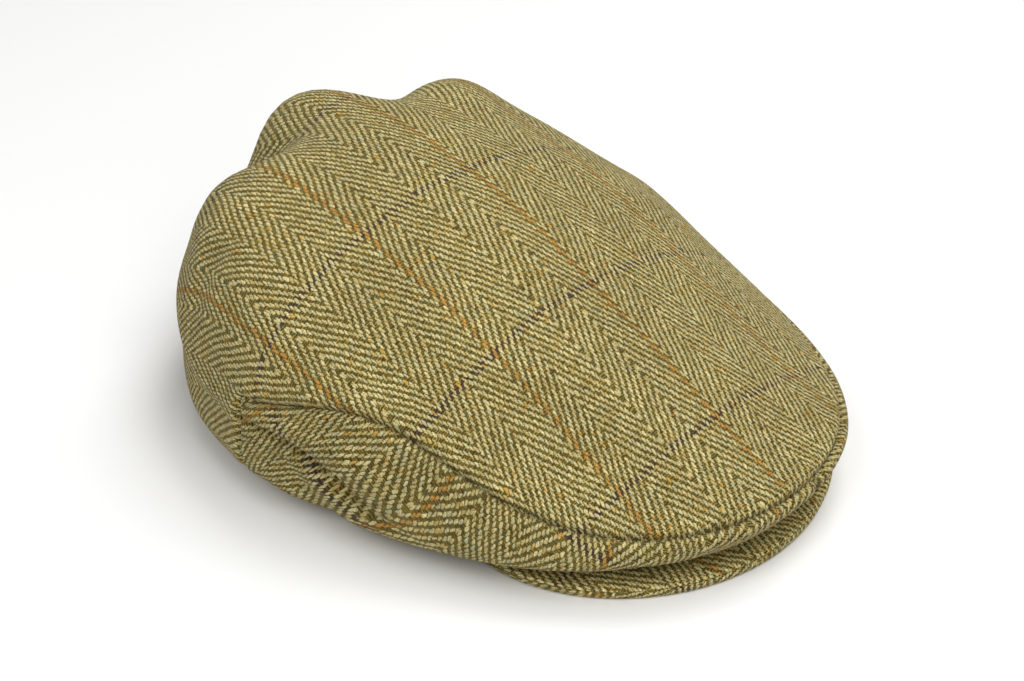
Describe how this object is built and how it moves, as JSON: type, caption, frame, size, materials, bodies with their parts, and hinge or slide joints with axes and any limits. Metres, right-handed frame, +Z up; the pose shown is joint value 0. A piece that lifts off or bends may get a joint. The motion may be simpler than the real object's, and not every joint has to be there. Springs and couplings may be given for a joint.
{
  "type": "flat cap",
  "caption": "Flat cap in herringbone tweed: a soft crown drawn low over a short stiffened peak, with side panels, slouched folds at the back and an open head hole.",
  "frame": {"origin": "on the table under the middle of the cap's bounding box", "axes": "the peak points along -Y, the back of the head is +Y, the wearer's left is +X and +Z is up"},
  "size_m": [0.2154, 0.2747, 0.1019],
  "materials": {
    "tweed": "matt wool herringbone in khaki and olive with a thin orange and purple overcheck"
  },
  "bodies": {
    "root": {"crown_top": "tweed", "side_panel_left": "tweed", "side_panel_right": "tweed", "peak_top": "tweed", "peak_under": "tweed"}
  },
  "joints": []
}
